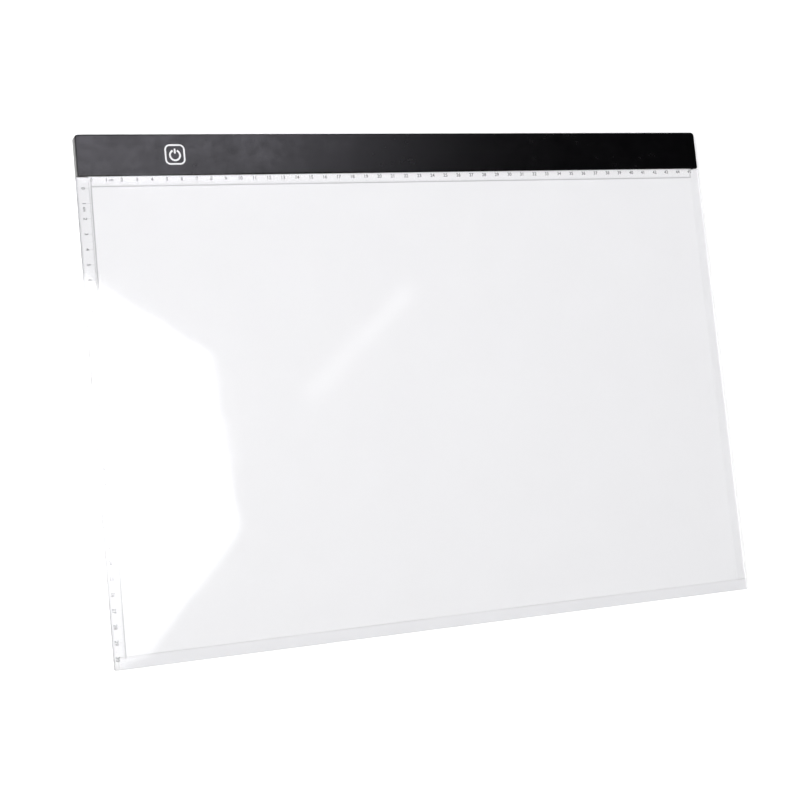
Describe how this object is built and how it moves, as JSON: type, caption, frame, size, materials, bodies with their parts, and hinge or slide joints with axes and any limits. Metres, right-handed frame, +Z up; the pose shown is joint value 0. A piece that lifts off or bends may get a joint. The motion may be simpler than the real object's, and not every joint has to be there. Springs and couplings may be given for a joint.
{
  "type": "led light box",
  "caption": "Thin edge-lit LED tracing pad: white drawing panel with printed rulers under a clear sheet, and a black control strip with a touch power key along one long edge.",
  "frame": {"origin": "centre of the pad's outline, on the surface that its rubber feet stand on", "axes": "+X along the long edge, to the right of a person drawing; +Y from that person towards the control strip; +Z up, out of the drawing surface"},
  "size_m": [0.468, 0.342, 0.0078],
  "materials": {
    "front_sheet_clear": "clear polished acrylic with fine handling scratches",
    "diffuser_opal": "fine matt opal film",
    "light_guide_clear": "clear acrylic with a laser dot grid",
    "reflector_white": "white foamed polyester sheet",
    "rear_panel_white": "finely grained white sheet",
    "rail_white": "satin moulded white plastic",
    "tape_white": "double-sided tissue tape",
    "housing_black": "fine satin spark-eroded texture",
    "screw_steel": "zinc plated, cross recess",
    "led_board_white": "white solder mask",
    "thermal_tape_grey": "soft grey thermal tape",
    "board_green": "green solder mask",
    "chip_black": "moulded epoxy",
    "capacitor_tan": "fired ceramic",
    "resistor_black": "glazed ceramic chip",
    "socket_steel": "nickel plated sheet",
    "socket_plastic": "moulded insulator",
    "electrode_copper": "bare copper foil",
    "spring_steel": "plated music wire",
    "lead_red": "soft insulation",
    "lead_black": "soft insulation",
    "seal_foam_black": "closed-cell foam",
    "foot_rubber": "matt rubber"
  },
  "bodies": {
    "root": {"front_sheet": "front_sheet_clear", "diffuser_film": "diffuser_opal", "light_guide_plate": "light_guide_clear", "reflector_sheet": "reflector_white", "rear_panel": "rear_panel_white", "left_edge_rail": "rail_white", "right_edge_rail": "rail_white", "bottom_edge_rail": "rail_white", "left_front_tape": "tape_white", "left_rear_tape": "tape_white", "right_front_tape": "tape_white", "right_rear_tape": "tape_white", "bottom_front_tape": "tape_white", "bottom_rear_tape": "tape_white", "strip_top_cover": "housing_black", "strip_bottom_cover": "housing_black", "cover_screw_1": "screw_steel", "cover_screw_2": "screw_steel", "cover_screw_3": "screw_steel", "cover_screw_4": "screw_steel", "cover_screw_5": "screw_steel", "cover_screw_6": "screw_steel", "led_bar": "led_board_white", "led_bar_tape": "thermal_tape_grey", "control_board": "board_green", "board_screw_1": "screw_steel", "board_screw_2": "screw_steel", "touch_chip": "chip_black", "dimmer_transistor": "chip_black", "input_capacitor": "capacitor_tan", "filter_capacitor": "capacitor_tan", "current_resistor_1": "resistor_black", "current_resistor_2": "resistor_black", "usb_socket_shell": "socket_steel", "usb_socket_tongue": "socket_plastic", "touch_electrode": "electrode_copper", "touch_spring": "spring_steel", "power_lead_red": "lead_red", "power_lead_black": "lead_black", "light_seal_foam": "seal_foam_black", "foot_front_left": "foot_rubber", "foot_front_middle": "foot_rubber", "foot_front_right": "foot_rubber", "foot_rear_left": "foot_rubber", "foot_rear_middle": "foot_rubber", "foot_rear_right": "foot_rubber"}
  },
  "joints": []
}
